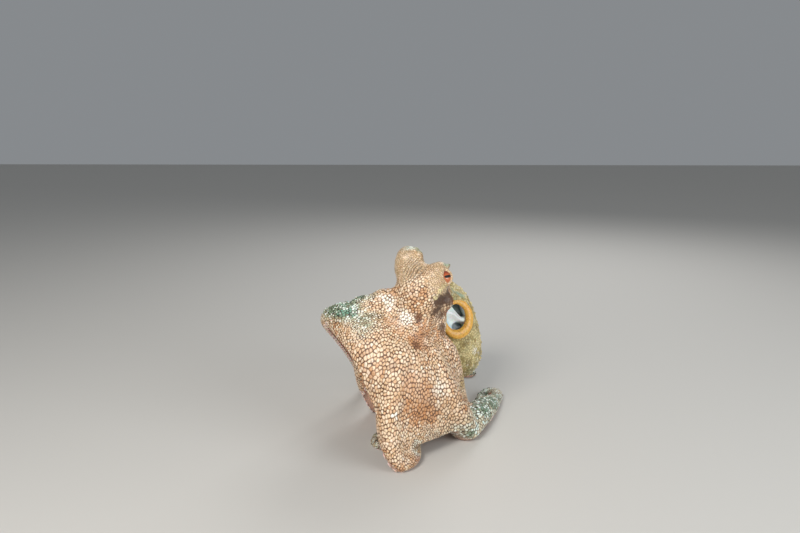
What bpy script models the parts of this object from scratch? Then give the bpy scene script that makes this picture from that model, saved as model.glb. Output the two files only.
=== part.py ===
"""A common octopus, standing on gathered arms with its webs spread and its mantle hanging behind."""
import math

import bmesh
import bpy
from mathutils import Matrix, Vector

MILLIMETRE = 0.001
GAP = 0.0003  # left between neighbouring solids
UP = Vector((0, 0, 1))

# The crown is the hub below the eyes that the arms grow from.
CROWN = Vector((-0.008, 0.006, 0.126))
CROWN_RADIUS = 0.034
CROWN_HEIGHT = 0.026
ARM_START = 0.012  # how far from the crown's middle an arm's middle line begins
SECTOR = 0.33  # an arm's half width is at most this share of how far the arm has spread from the crown

TIP_RADIUS = 0.0014
TAPER = 0.85
ARM_SIDES = 8
BACK_HEIGHT = 0.95  # the arm's rounded back, as a share of its half width
SOLE_HEIGHT = 0.74  # the flatter side that carries the suckers
FLOOR_ROLL = 4.2  # how high above the floor an arm starts to roll its suckers under it, in half widths
ARM_PARTS = ("base", "middle", "tip")
PART_ENDS = (0.0, 0.46, 0.72, 1.0)  # where the lengths of an arm begin and end
RING_SPACING = 0.0050  # between rings at the tip of an arm, and how it grows with the half width
RING_SPREAD = 1.05
ROUTE_STEP = 0.002
ROUTE_SMOOTHING = 40
CURL_TIGHTENING = 1.7

WEB_ROWS = 7
WEB_COLUMNS = 6
WEB_START = 0.02  # share of its reach where a web begins below the crown
WEB_EDGE = 0.4  # thickness at the free edge, as a share of the thickness near the crown
WEB_THINNING = 1.6  # how soon down its reach a web gets as thin as its edge
WEB_GRIP = 0.35  # where a web ends inside an arm, in half widths to the side of the middle
WEB_CLEARANCE = 0.004  # from the floor to the middle of a web

MASS_DETAIL = 0.0022
MASS_SOFTENING = 10
MASS_THINNING = 0.065

EYE_RADIUS = 0.0085
MANTLE_RING = 14
LIP_STEPS = 20
LIP_SIDES = 8
HOLLOW_SIDES = 20
WALL_SIDES = 12

SKIN = ((0.62, 0.43, 0.29), 0.55)
MANTLE_SKIN = ((0.46, 0.38, 0.17), 0.55)
LIP_SKIN = ((0.78, 0.40, 0.07), 0.45)
PALE_SKIN = ((0.78, 0.83, 0.88), 0.4)
EYE_SKIN = ((0.62, 0.13, 0.05), 0.15)

# Each arm: where it leaves the crown (plan angle, dip below level), its half width there, the curl of its
# tip (length, turn), and the places in millimetres that it passes before it.
ARMS = {
    "l1": dict(
        leaves=(-7.5, 8), radius=0.0165, curl=(0.125, 440),
        way=[(-13, -27, 116), (-18, -45, 99), (-22, -57, 78), (-25, -63, 55), (-24, -68, 33), (-19, -70, 8),
             (-9, -70, 0), (-1, -60, 0), (-1, -36, 0)],
    ),
    "l2": dict(
        leaves=(37.5, 12), radius=0.0175, curl=(0.04, -330),
        way=[(13, -17, 108), (22, -22, 84), (34, -19, 56), (46, -9, 28), (55, 3, 6), (64, 18, 0), (86, 61, 0),
             (101, 92, 0), (108, 110, 0), (102, 123, 0), (91, 120, 0), (85, 106, 0), (79, 90, 0)],
    ),
    "l3": dict(
        leaves=(82.5, 14), radius=0.0150, curl=(0.10, -420),
        way=[(20, 4, 115), (32, 4, 98), (38, 8, 76), (44, 20, 46), (50, 38, 18), (51, 60, 0), (48, 120, 0),
             (46, 170, 0)],
    ),
    "l4": dict(
        leaves=(127.5, 5), radius=0.0160, curl=(0.13, -400),
        way=[(12, 24, 111), (26, 35, 84), (31, 44, 50), (29, 55, 8), (27, 70, 0), (25, 160, 0), (31, 205, 0)],
    ),
    "r4": dict(
        leaves=(172.5, 5), radius=0.0160, curl=(0.05, -300),
        way=[(-5, 29, 112), (1, 43, 84), (5, 49, 48), (6, 57, 8), (6, 72, 0), (5, 120, 0), (2, 140, 0),
             (8, 160, 0), (3, 180, 0)],
    ),
    "r3": dict(
        leaves=(217.5, 5), radius=0.0160, curl=(0.115, -430),
        way=[(-22, 26, 110), (-29, 41, 80), (-22, 50, 44), (-16, 59, 8), (-15, 75, 0), (-19, 205, 0)],
    ),
    "r2": dict(
        leaves=(262.5, 5), radius=0.0165, curl=(0.05, 300),
        way=[(-38, 11, 114), (-54, 22, 86), (-52, 40, 48), (-42, 56, 12), (-37, 74, 0), (-37, 120, 0),
             (-32, 140, 0), (-40, 160, 0), (-34, 178, 0)],
    ),
    "r1": dict(
        leaves=(307.5, -26), radius=0.0130, curl=(0.11, -430),
        way=[(-38, -6, 142), (-60, -9, 142), (-81, -5, 138), (-90, 8, 130), (-80, 27, 110), (-72, 52, 85),
             (-65, 82, 56), (-60, 112, 26), (-58, 140, 0), (-65, 200, 0)],
    ),
}

# Each web: how far down its two arms it reaches, how deep its free edge is hollowed, how far it bows
# outwards, how near the arms' backs it lies (in half widths), and its thickness near the crown.
WEBS = {
    "r1_l1": dict(reach=(0.098, 0.112), hollow=0.27, bow=0.008, lift=0.58, thick=0.0070),
    "l1_l2": dict(reach=(0.144, 0.142), hollow=0.06, bow=0.005, lift=0.62, thick=0.0070),
    "l2_l3": dict(reach=(0.130, 0.115), hollow=0.30, bow=0.000, lift=0.58, thick=0.0055),
    "l3_l4": dict(reach=(0.115, 0.110), hollow=0.30, bow=-0.004, lift=0.55, thick=0.0045),
    "l4_r4": dict(reach=(0.110, 0.110), hollow=0.30, bow=-0.004, lift=0.55, thick=0.0045),
    "r4_r3": dict(reach=(0.110, 0.110), hollow=0.30, bow=-0.004, lift=0.55, thick=0.0045),
    "r3_r2": dict(reach=(0.110, 0.115), hollow=0.30, bow=-0.004, lift=0.55, thick=0.0045),
    "r2_r1": dict(reach=(0.115, 0.098), hollow=0.34, bow=-0.004, lift=0.55, thick=0.0045),
}

# Rounded masses that the head is blended from: centre and half axes.
HEAD_MASSES = {
    "skull": ((0.006, 0.000, 0.158), (0.027, 0.025, 0.030)),
    "right_orbit": ((-0.006, 0.008, 0.187), (0.0160, 0.0160, 0.0210)),
    "left_orbit": ((0.021, -0.005, 0.176), (0.0165, 0.0150, 0.0165)),
    "brow": ((0.006, -0.004, 0.170), (0.018, 0.017, 0.018)),
    "crown": (tuple(CROWN), (CROWN_RADIUS, CROWN_RADIUS, CROWN_HEIGHT)),
    "neck": ((0.013, 0.032, 0.152), (0.026, 0.034, 0.024)),
}
EYES = {
    "eye_left": (0.0305, -0.0085, 0.1765),
    "eye_right": (-0.0145, 0.0130, 0.190),
}

# The mantle hangs in a curve from the neck: place, half width and half depth at each section.
MANTLE_SECTIONS = [
    ((0.014, 0.054, 0.154), 0.0180, 0.017),
    ((0.019, 0.070, 0.149), 0.0220, 0.025),
    ((0.026, 0.086, 0.135), 0.0285, 0.033),
    ((0.031, 0.097, 0.114), 0.0385, 0.039),
    ((0.035, 0.103, 0.092), 0.0410, 0.040),
    ((0.039, 0.107, 0.070), 0.0430, 0.039),
    ((0.042, 0.108, 0.051), 0.0405, 0.036),
    ((0.043, 0.108, 0.036), 0.0320, 0.027),
    ((0.043, 0.108, 0.030), 0.0160, 0.013),
]
MANTLE_SIDE = Vector((0.94, -0.34, 0))

# The mantle's open mouth, with a thick lip round it and the wall of the siphon's root across its hollow.
OPENING = Vector((0.0492, 0.0690, 0.1145))
OPENING_WAY = Vector((0.50, -0.86, 0.22)).normalized()
OPENING_HALF = (0.0165, 0.0180)  # half width and half height of the lip's middle line
LIP_RADIUS = 0.0042
LIP_FULLNESS = 1.25  # how far the lip stands out, against its width
HOLLOW_SECTIONS = ((0.020, 0.95), (0, 0.93), (-0.008, 0.91), (-0.016, 0.80), (-0.022, 0.55), (-0.026, 0.2))
WALL_TILT = 52
WALL_SECTIONS = ((-0.0180, 0.0100, 0.0030), (-0.0145, 0.0118, 0.0026), (-0.0100, 0.0128, 0.0020),
                 (-0.0060, 0.0122, 0.0012))


def clear_scene():
    for obj in list(bpy.data.objects):
        bpy.data.objects.remove(obj)


def new_collection(name):
    collection = bpy.data.collections.new(name)
    bpy.context.scene.collection.children.link(collection)
    return collection


def material(name, look):
    colour, roughness = look
    made = bpy.data.materials.new(name)
    made.use_nodes = True
    shader = made.node_tree.nodes["Principled BSDF"]
    shader.inputs["Base Color"].default_value = (*colour, 1)
    shader.inputs["Roughness"].default_value = roughness
    shader.inputs["Metallic"].default_value = 0
    return made


def add_object(name, shape, collection, skin=None):
    """A mesh object made from a bmesh."""
    bmesh.ops.recalc_face_normals(shape, faces=shape.faces)
    mesh = bpy.data.meshes.new(name)
    shape.to_mesh(mesh)
    shape.free()
    mesh.shade_smooth()
    obj = bpy.data.objects.new(name, mesh)
    collection.objects.link(obj)
    if skin:
        mesh.materials.append(skin)
    return obj


def apply_modifiers(obj):
    """Replaces the object's mesh with its evaluated one."""
    graph = bpy.context.evaluated_depsgraph_get()
    graph.update()
    mesh = bpy.data.meshes.new_from_object(obj.evaluated_get(graph))
    obj.modifiers.clear()
    obj.data = mesh


def cut(obj, *cutters):
    for cutter in cutters:
        boolean = obj.modifiers.new("cut", "BOOLEAN")
        boolean.operation = "DIFFERENCE"
        boolean.solver = "EXACT"
        boolean.object = cutter
        apply_modifiers(obj)


def keep_largest(obj):
    """Drops the crumbs that a cut can leave beside the main body."""
    shape = bmesh.new()
    shape.from_mesh(obj.data)
    bmesh.ops.remove_doubles(shape, verts=shape.verts, dist=0.00002)
    left = set(shape.verts)
    islands = []
    while left:
        island = {left.pop()}
        edge = list(island)
        while edge:
            near = {e.other_vert(v) for v in edge for e in v.link_edges} - island
            island |= near
            edge = list(near)
        left -= island
        islands.append(island)
    islands.sort(key=len)
    for island in islands[:-1]:
        bmesh.ops.delete(shape, geom=list(island), context="VERTS")
    shape.to_mesh(obj.data)
    shape.free()


def full_turn(count):
    return [2 * math.pi * k / count for k in range(count)]


def join_rows(shape, lower, upper):
    for k in range(len(lower)):
        after = (k + 1) % len(lower)
        shape.faces.new((lower[k], lower[after], upper[after], upper[k]))


def loft(rings, end=None):
    """A closed skin over rings of points, with flat ends or a point at the far one."""
    shape = bmesh.new()
    rows = [[shape.verts.new(point) for point in ring] for ring in rings]
    for lower, upper in zip(rows, rows[1:]):
        join_rows(shape, lower, upper)
    shape.faces.new(rows[0])
    if end is None:
        shape.faces.new(rows[-1])
    else:
        tip = shape.verts.new(end)
        for k, vert in enumerate(rows[-1]):
            shape.faces.new((vert, rows[-1][(k + 1) % len(rows[-1])], tip))
    return shape


def ellipsoid(centre, half_axes, segments=24, rings=16):
    shape = bmesh.new()
    place = Matrix.Translation(centre) @ Matrix.Diagonal((*half_axes, 1))
    bmesh.ops.create_uvsphere(shape, u_segments=segments, v_segments=rings, radius=1, matrix=place)
    return shape


def heading(turn, dip):
    """A direction: plan angle from straight ahead to the animal's left, and dip below level."""
    turn, dip = math.radians(turn), math.radians(dip)
    return Vector((math.sin(turn) * math.cos(dip), -math.cos(turn) * math.cos(dip), -math.sin(dip)))


def arm_route(arm):
    """Points along an arm, a step apart: from the crown by its way points to the curl of its tip."""
    knots = [CROWN + heading(*arm["leaves"]) * ARM_START]
    knots += [Vector(place) * MILLIMETRE for place in arm["way"]]
    points = [knots[0]]
    for start, end in zip(knots, knots[1:]):
        steps = max(1, round((end - start).length / ROUTE_STEP))
        points += [start.lerp(end, k / steps) for k in range(1, steps + 1)]
    for _ in range(ROUTE_SMOOTHING):
        inner = [(a + b + c) / 3 for a, b, c in zip(points, points[1:], points[2:])]
        points = [points[0], *inner, points[-1]]
    last = points[-1] - points[-2]
    turn = math.degrees(math.atan2(last.x, -last.y))
    length, wound = arm["curl"]
    steps = round(length / ROUTE_STEP)
    for k in range(1, steps + 1):
        points.append(points[-1] + heading(turn + wound * (k / steps) ** CURL_TIGHTENING, 0) * ROUTE_STEP)
    return points


def arm_radii(arm, points):
    """Half widths along an arm, held back near the crown where the eight arms meet."""
    ends = len(points) - 1
    spread = 0
    radii = []
    for k, point in enumerate(points):
        spread = max(spread, (point - CROWN).to_2d().length)
        taper = TIP_RADIUS + (arm["radius"] - TIP_RADIUS) * (1 - k / ends) ** TAPER
        radii.append(min(taper, SECTOR * spread))
    return radii


def arm_stations(arm):
    """Centre, side, back direction and half width at each step of an arm, laid flat where it meets the floor."""
    points = arm_route(arm)
    turn, dip = arm["leaves"]
    back = heading(turn, dip - 90)
    stations = []
    for k, (point, radius) in enumerate(zip(points, arm_radii(arm, points))):
        ahead = (points[min(k + 1, len(points) - 1)] - points[max(k - 1, 0)]).normalized()
        upright = (UP - ahead * ahead.z).normalized()
        laid = min(max((FLOOR_ROLL * radius - point.z) / (FLOOR_ROLL * radius - radius), 0), 1)
        back = (back - ahead * back.dot(ahead)).normalized().lerp(upright, laid).normalized()
        side = ahead.cross(back)
        lowest = min(corner.z for corner in ring_points(point, side, back, radius))
        stations.append((point + UP * max(0, -lowest), side, back, radius))
    return stations


def ring_points(centre, side, back, radius, grow=0.0):
    """The cross-section of an arm: round behind, flatter on the side of the suckers."""
    ring = []
    for k in range(ARM_SIDES):
        angle = 2 * math.pi * (k + 0.5) / ARM_SIDES
        height = BACK_HEIGHT if math.sin(angle) > 0 else SOLE_HEIGHT
        across = (radius + grow) * math.cos(angle)
        up = (radius * height + grow) * math.sin(angle)
        ring.append(centre + side * across + back * up)
    return ring


def station_numbers(stations, first, last):
    """Which stations get a ring: close together where the arm is thin."""
    numbers = [first]
    while numbers[-1] < last:
        spacing = RING_SPACING + RING_SPREAD * stations[numbers[-1]][3]
        numbers.append(numbers[-1] + max(1, round(spacing / ROUTE_STEP)))
    numbers[-1] = last
    if len(numbers) > 2 and numbers[-1] - numbers[-2] < 2:
        del numbers[-2]
    return numbers


def arm_solid(stations, first, last, grow=0.0):
    rings = [ring_points(*stations[n], grow) for n in station_numbers(stations, first, last)]
    if first:
        nudge = (stations[first + 1][0] - stations[first][0]).normalized() * GAP
        rings[0] = [point + nudge - UP * min((point + nudge).z, 0) for point in rings[0]]
    end = None
    if last == len(stations) - 1:
        point, _, _, radius = stations[last]
        end = point + (point - stations[last - 1][0]).normalized() * radius
    shape = loft(rings, end)
    # A twisted four-sided face has to fold the same way here and in the cutter made from it.
    bmesh.ops.triangulate(shape, faces=shape.faces, quad_method="FIXED")
    return shape


def web_sheet(name, first, second, collection, skin):
    """The sheet of web between two arms, bowed between them and with a hollowed free edge."""
    web = WEBS[f"{first}_{second}"]
    sides = list(zip((arm_stations(ARMS[first]), arm_stations(ARMS[second])), web["reach"], (-1, 1)))
    shape = bmesh.new()
    bmesh.ops.create_grid(shape, x_segments=WEB_COLUMNS, y_segments=WEB_ROWS, size=0.5)
    weight = shape.verts.layers.deform.new()
    for vert in shape.verts:
        across, down = vert.co.x + 0.5, vert.co.y + 0.5
        arch = math.sin(math.pi * across)
        reach = WEB_START + (1 - WEB_START) * down * (1 - web["hollow"] * arch ** 1.2)
        ends = []
        for stations, length, inward in sides:
            point, side, back, radius = stations[round(length * reach / ROUTE_STEP)]
            ends.append(point + side * inward * radius * WEB_GRIP + back * radius * web["lift"])
        middle = ends[0].lerp(ends[1], across)
        outward = ((middle - CROWN) * Vector((1, 1, 0.5))).normalized()
        middle += outward * web["bow"] * arch * math.sin(math.pi * min(1, reach * 0.8))
        middle.z = max(middle.z, WEB_CLEARANCE)
        vert.co = middle
        vert[weight][0] = max(0.01, 1 - WEB_THINNING * down)
    obj = add_object(name, shape, collection, skin)
    obj.vertex_groups.new(name="thick")
    solidify = obj.modifiers.new("thickness", "SOLIDIFY")
    solidify.thickness = web["thick"]
    solidify.vertex_group = "thick"
    solidify.thickness_vertex_group = WEB_EDGE
    solidify.offset = 0
    apply_modifiers(obj)
    return obj


def blended(name, masses, collection, grow=0.0, skin=None):
    """Rounded masses melted into one body by a voxel remesh."""
    whole = bmesh.new()
    for centre, half_axes in masses.values():
        part = ellipsoid(centre, [axis + grow for axis in half_axes])
        mesh = bpy.data.meshes.new("mass")
        part.to_mesh(mesh)
        part.free()
        whole.from_mesh(mesh)
    obj = add_object(name, whole, collection, skin)
    remesh = obj.modifiers.new("melt", "REMESH")
    remesh.mode = "VOXEL"
    remesh.voxel_size = MASS_DETAIL
    remesh.use_smooth_shade = True
    smooth = obj.modifiers.new("soften", "SMOOTH")
    smooth.iterations = MASS_SOFTENING
    smooth.factor = 0.5
    decimate = obj.modifiers.new("thin", "DECIMATE")
    decimate.ratio = MASS_THINNING
    apply_modifiers(obj)
    return obj


def mantle_body(collection, skin):
    places = [Vector(place) for place, _, _ in MANTLE_SECTIONS]
    rings = []
    for k, (_, wide, deep) in enumerate(MANTLE_SECTIONS):
        ahead = (places[min(k + 1, len(places) - 1)] - places[max(k - 1, 0)]).normalized()
        side = (MANTLE_SIDE - ahead * MANTLE_SIDE.dot(ahead)).normalized()
        up = ahead.cross(side)
        rings.append([places[k] + side * wide * math.cos(a) + up * deep * math.sin(a)
                      for a in full_turn(MANTLE_RING)])
    obj = add_object("mantle", loft(rings), collection, skin)
    subdivide = obj.modifiers.new("round", "SUBSURF")
    subdivide.levels = subdivide.render_levels = 1
    apply_modifiers(obj)
    return obj


def opening_place():
    """Local +Z points out of the mantle's opening, and local +Y is its upright."""
    upright = (UP - OPENING_WAY * OPENING_WAY.z).normalized()
    across = upright.cross(OPENING_WAY)
    return Matrix.Translation(OPENING) @ Matrix((across, upright, OPENING_WAY)).transposed().to_4x4()


def lip_ring(name, collection, grow=0.0, skin=None):
    place = opening_place()
    shape = bmesh.new()
    rows = []
    for turn in full_turn(LIP_STEPS):
        out = Vector((math.cos(turn), math.sin(turn), 0))
        middle = Vector((OPENING_HALF[0] * out.x, OPENING_HALF[1] * out.y, 0))
        rows.append([
            shape.verts.new(place @ (middle + (out * math.cos(a) + UP * LIP_FULLNESS * math.sin(a))
                                     * (LIP_RADIUS + grow)))
            for a in full_turn(LIP_SIDES)
        ])
    for n, row in enumerate(rows):
        join_rows(shape, row, rows[(n + 1) % len(rows)])
    return add_object(name, shape, collection, skin)


def hollow_cutter(collection):
    """The bowl behind the lip, with a mouth that runs out in front of it."""
    place = opening_place()
    rings = [
        [place @ Vector((OPENING_HALF[0] * share * math.cos(a), OPENING_HALF[1] * share * math.sin(a), depth))
         for a in full_turn(HOLLOW_SIDES)]
        for depth, share in HOLLOW_SECTIONS
    ]
    return add_object("hollow_cutter", loft(rings), collection)


def siphon_wall(name, collection, grow=0.0, skin=None):
    """The pale wall of the siphon's root, which parts the hollow in two and is rooted in its far side."""
    place = opening_place() @ Matrix.Rotation(math.radians(WALL_TILT), 4, "Z")
    rings = [
        [place @ Vector(((high + grow) * math.cos(a), (thick + grow) * math.sin(a), depth))
         for a in full_turn(WALL_SIDES)]
        for depth, high, thick in WALL_SECTIONS
    ]
    return add_object(name, loft(rings), collection, skin)


def eye_ball(name, centre, collection, grow=0.0, skin=None):
    return add_object(name, ellipsoid(centre, [EYE_RADIUS + grow] * 3, 14, 8), collection, skin)


def as_cutter(obj):
    obj.hide_render = True
    obj.display_type = "WIRE"
    return obj


def centre_on_floor(objects):
    """Moves the meshes so that the origin is under the middle of the whole animal."""
    corners = [vert.co for obj in objects for vert in obj.data.vertices]
    low = Vector([min(corner[axis] for corner in corners) for axis in range(3)])
    high = Vector([max(corner[axis] for corner in corners) for axis in range(3)])
    shift = Matrix.Translation((-(low.x + high.x) / 2, -(low.y + high.y) / 2, -low.z))
    for obj in objects:
        obj.data.transform(shift)


def main():
    clear_scene()
    animal = new_collection("octopus")
    cutters = new_collection("cutters")
    skin = material("skin", SKIN)
    mantle_skin = material("mantle_skin", MANTLE_SKIN)
    lip_skin = material("lip", LIP_SKIN)
    pale_skin = material("pale_inside", PALE_SKIN)
    eye_skin = material("eye", EYE_SKIN)

    head = blended("head", HEAD_MASSES, animal, skin=skin)
    head_cutter = as_cutter(blended("head_cutter", HEAD_MASSES, cutters, grow=2 * GAP))
    for name, centre in EYES.items():
        eye_ball(name, centre, animal, skin=eye_skin)
        cut(head, as_cutter(eye_ball(f"{name}_cutter", centre, cutters, grow=GAP)))
    keep_largest(head)

    mantle = mantle_body(animal, mantle_skin)
    lip_ring("mantle_lip", animal, skin=lip_skin)
    siphon_wall("siphon_wall", animal, skin=pale_skin)
    lip_cutter = as_cutter(lip_ring("lip_cutter", cutters, grow=GAP))
    cut(mantle, head_cutter, as_cutter(hollow_cutter(cutters)), lip_cutter)
    keep_largest(mantle)

    arm_cutters = {}
    for name, arm in ARMS.items():
        stations = arm_stations(arm)
        last = len(stations) - 1
        ends = [round(share * last) for share in PART_ENDS]
        for part, first, final in zip(ARM_PARTS, ends, ends[1:]):
            obj = add_object(f"arm_{name}_{part}", arm_solid(stations, first, final), animal, skin)
            if part == "base":
                cut(obj, head_cutter)
                keep_largest(obj)
        cutter = add_object(f"arm_{name}_cutter", arm_solid(stations, 0, ends[1], grow=1.5 * GAP), cutters)
        arm_cutters[name] = as_cutter(cutter)

    for name in WEBS:
        first, second = name.split("_")
        sheet = web_sheet(f"web_{name}", first, second, animal, skin)
        cut(sheet, head_cutter, arm_cutters[first], arm_cutters[second])
        keep_largest(sheet)

    centre_on_floor(list(animal.objects))


main()
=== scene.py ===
import itertools
import math

import bmesh
import bpy
import numpy as np
from mathutils import Matrix, Vector, kdtree, noise


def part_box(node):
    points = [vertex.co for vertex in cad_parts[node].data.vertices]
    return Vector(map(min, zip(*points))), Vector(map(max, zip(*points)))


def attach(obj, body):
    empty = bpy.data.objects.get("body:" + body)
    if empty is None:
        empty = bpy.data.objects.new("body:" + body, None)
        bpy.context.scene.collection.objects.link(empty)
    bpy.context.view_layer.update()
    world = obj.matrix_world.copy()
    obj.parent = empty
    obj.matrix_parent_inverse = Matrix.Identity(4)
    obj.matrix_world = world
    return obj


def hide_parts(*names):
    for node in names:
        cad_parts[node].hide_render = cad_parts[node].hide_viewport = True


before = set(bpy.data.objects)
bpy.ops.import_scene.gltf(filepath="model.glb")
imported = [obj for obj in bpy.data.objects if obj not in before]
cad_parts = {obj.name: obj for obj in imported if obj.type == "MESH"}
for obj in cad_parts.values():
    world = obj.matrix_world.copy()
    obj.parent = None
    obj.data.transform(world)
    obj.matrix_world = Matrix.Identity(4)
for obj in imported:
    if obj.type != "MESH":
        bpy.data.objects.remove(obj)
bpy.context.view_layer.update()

# Places below are in the animal's own frame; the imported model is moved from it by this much.
leftEye = Vector((0.0305, -0.0085, 0.1765))
low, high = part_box("eye_left")
shift = (low + high) / 2 - leftEye
up = Vector((0, 0, 1))


def linear(colour):
    return [((c + 0.055) / 1.055) ** 2.4 if c > 0.04 else c / 12.92 for c in colour]


def row(values):
    return np.array(values, np.float32)


def blend(first, second, weight):
    return first * (1 - weight[:, None]) + second * weight[:, None]


def newMesh(name, shape, smooth=True):
    mesh = bpy.data.meshes.new(name)
    shape.to_mesh(mesh)
    shape.free()
    if smooth:
        mesh.shade_smooth()
    piece = bpy.data.objects.new(name, mesh)
    bpy.context.scene.collection.objects.link(piece)
    return piece


def applied(piece):
    graph = bpy.context.evaluated_depsgraph_get()
    graph.update()
    mesh = bpy.data.meshes.new_from_object(piece.evaluated_get(graph))
    piece.modifiers.clear()
    old, piece.data = piece.data, mesh
    bpy.data.meshes.remove(old)
    return piece


# The camera looks down a little from in front; the animal stands a little right of and below its centre.
view = dict(elevation=20, distance=0.735, aim=(0, 0, 0.0865), aimBelow=7.69, aimRight=1.23, lens=31.5)


def setCamera():
    tilt = math.radians(view["elevation"])
    camera = bpy.data.objects.new("camera", bpy.data.cameras.new("camera"))
    bpy.context.scene.collection.objects.link(camera)
    camera.data.lens = view["lens"]
    camera.data.sensor_width = 36
    camera.data.clip_start = 0.01
    away = Vector((0, -math.cos(tilt), math.sin(tilt)))
    camera.location = Vector(view["aim"]) + shift + away * view["distance"]
    down = math.radians(view["elevation"] - view["aimBelow"])
    aside = Matrix.Rotation(math.radians(view["aimRight"]), 4, "Z")
    camera.rotation_euler = (aside @ Matrix.Rotation(math.pi / 2 - down, 4, "X")).to_euler()
    bpy.context.scene.camera = camera


# Studio: place, aim, size and power of each soft light, then floor and surroundings.
studio = dict(
    lights=[
        dict(name="key", place=(-0.45, -1.00, 0.85), size=0.45, power=12, colour=(1.0, 0.97, 0.93)),
        dict(name="fill", place=(0.95, -0.75, 0.50), size=0.8, power=8, colour=(0.93, 0.97, 1.0)),
        dict(name="rim", place=(0.35, 0.95, 0.95), size=0.7, power=6, colour=(1.0, 1.0, 1.0)),
    ],
    aim=(0, 0, 0.09), floorSize=8, floorColour=(0.78, 0.77, 0.75), worldColour=(0.86, 0.88, 0.90),
    worldPower=0.34,
)


def buildStudio():
    for plan in studio["lights"]:
        light = bpy.data.lights.new(plan["name"], "AREA")
        light.size = plan["size"]
        light.energy = plan["power"]
        light.color = plan["colour"]
        lamp = bpy.data.objects.new(plan["name"], light)
        lamp.location = plan["place"]
        lamp.rotation_euler = (Vector(studio["aim"]) - lamp.location).to_track_quat("-Z", "Y").to_euler()
        bpy.context.scene.collection.objects.link(lamp)
    world = bpy.data.worlds.new("studio")
    world.use_nodes = True
    world.node_tree.nodes["Background"].inputs["Color"].default_value = (*linear(studio["worldColour"]), 1)
    world.node_tree.nodes["Background"].inputs["Strength"].default_value = studio["worldPower"]
    bpy.context.scene.world = world
    bpy.context.scene.view_settings.view_transform = "Standard"
    shape = bmesh.new()
    bmesh.ops.create_grid(shape, x_segments=1, y_segments=1, size=studio["floorSize"] / 2)
    ground = newMesh("floor", shape, smooth=False)
    made = bpy.data.materials.new("floor")
    made.use_nodes = True
    shader = made.node_tree.nodes["Principled BSDF"]
    shader.inputs["Base Color"].default_value = (*linear(studio["floorColour"]), 1)
    shader.inputs["Roughness"].default_value = 0.85
    ground.data.materials.append(made)


setCamera()
buildStudio()
print("camera and studio")

# Each arm: where it leaves the crown (plan angle, dip), half width there, curl of its tip, and its way in mm.
# Some have their own swing of the suckers, a fuller stretch (start, end, most) or a sole that begins later.
arms = {
    "l1": dict(
        leaves=(-7.5, 8), radius=0.0165, curl=(0.125, 440), swing=20,
        way=[(-13, -27, 116), (-18, -45, 99), (-22, -57, 78), (-25, -63, 55), (-24, -68, 33), (-19, -70, 8),
             (-9, -70, 0), (-1, -60, 0), (-1, -36, 0)],
    ),
    "l2": dict(
        leaves=(37.5, 12), radius=0.0175, curl=(0.04, -330), fuller=(0.26, 0.66, 1.50), soleFrom=0.5,
        way=[(13, -17, 108), (22, -22, 84), (34, -19, 56), (46, -9, 28), (54, 3, 6), (62, 19, 0), (82, 61, 0),
             (96, 91, 0), (103, 109, 0), (98, 122, 0), (88, 121, 0), (81, 107, 0), (75, 90, 0)],
    ),
    "l3": dict(
        leaves=(82.5, 14), radius=0.0150, curl=(0.10, -420),
        way=[(20, 4, 115), (32, 4, 98), (38, 8, 76), (44, 20, 46), (50, 38, 18), (51, 60, 0), (48, 120, 0),
             (46, 170, 0)],
    ),
    "l4": dict(
        leaves=(127.5, 5), radius=0.0160, curl=(0.13, -400),
        way=[(12, 24, 111), (26, 35, 84), (31, 44, 50), (29, 55, 8), (27, 70, 0), (25, 160, 0), (31, 205, 0)],
    ),
    "r4": dict(
        leaves=(172.5, 5), radius=0.0160, curl=(0.05, -300),
        way=[(-5, 29, 112), (1, 43, 84), (5, 49, 48), (6, 57, 8), (6, 72, 0), (5, 120, 0), (2, 140, 0),
             (8, 160, 0), (3, 180, 0)],
    ),
    "r3": dict(
        leaves=(217.5, 5), radius=0.0160, curl=(0.115, -430),
        way=[(-22, 26, 110), (-29, 41, 80), (-22, 50, 44), (-16, 59, 8), (-15, 75, 0), (-19, 205, 0)],
    ),
    "r2": dict(
        leaves=(262.5, 5), radius=0.0165, curl=(0.05, 300),
        way=[(-38, 11, 114), (-54, 22, 86), (-52, 40, 48), (-42, 56, 12), (-37, 74, 0), (-37, 120, 0),
             (-32, 140, 0), (-40, 160, 0), (-34, 178, 0)],
    ),
    "r1": dict(
        leaves=(307.5, -26), radius=0.0130, curl=(0.11, -430),
        way=[(-38, -6, 142), (-60, -9, 142), (-81, -5, 138), (-90, 8, 130), (-80, 27, 110), (-72, 52, 85),
             (-65, 82, 56), (-60, 112, 26), (-58, 140, 0), (-65, 200, 0)],
    ),
}
crown = Vector((-0.008, 0.006, 0.126))
armForm = dict(start=0.012, sector=0.33, tip=0.0014, taper=0.85, back=0.95, sole=0.74, roll=4.2, step=0.002,
               smoothing=40, tightening=1.7, facets=8, sides=18)


def heading(turn, dip):
    turn, dip = math.radians(turn), math.radians(dip)
    return Vector((math.sin(turn) * math.cos(dip), -math.cos(turn) * math.cos(dip), -math.sin(dip)))


def armRoute(arm):
    step = armForm["step"]
    knots = [crown + heading(*arm["leaves"]) * armForm["start"]]
    knots += [Vector(place) * 0.001 for place in arm["way"]]
    points = [knots[0]]
    for start, end in zip(knots, knots[1:]):
        count = max(1, round((end - start).length / step))
        points += [start.lerp(end, k / count) for k in range(1, count + 1)]
    for _ in range(armForm["smoothing"]):
        inner = [(a + b + c) / 3 for a, b, c in zip(points, points[1:], points[2:])]
        points = [points[0], *inner, points[-1]]
    last = points[-1] - points[-2]
    turn = math.degrees(math.atan2(last.x, -last.y))
    length, wound = arm["curl"]
    count = round(length / step)
    for k in range(1, count + 1):
        bend = wound * (k / count) ** armForm["tightening"]
        points.append(points[-1] + heading(turn + bend, 0) * step)
    return points


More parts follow.
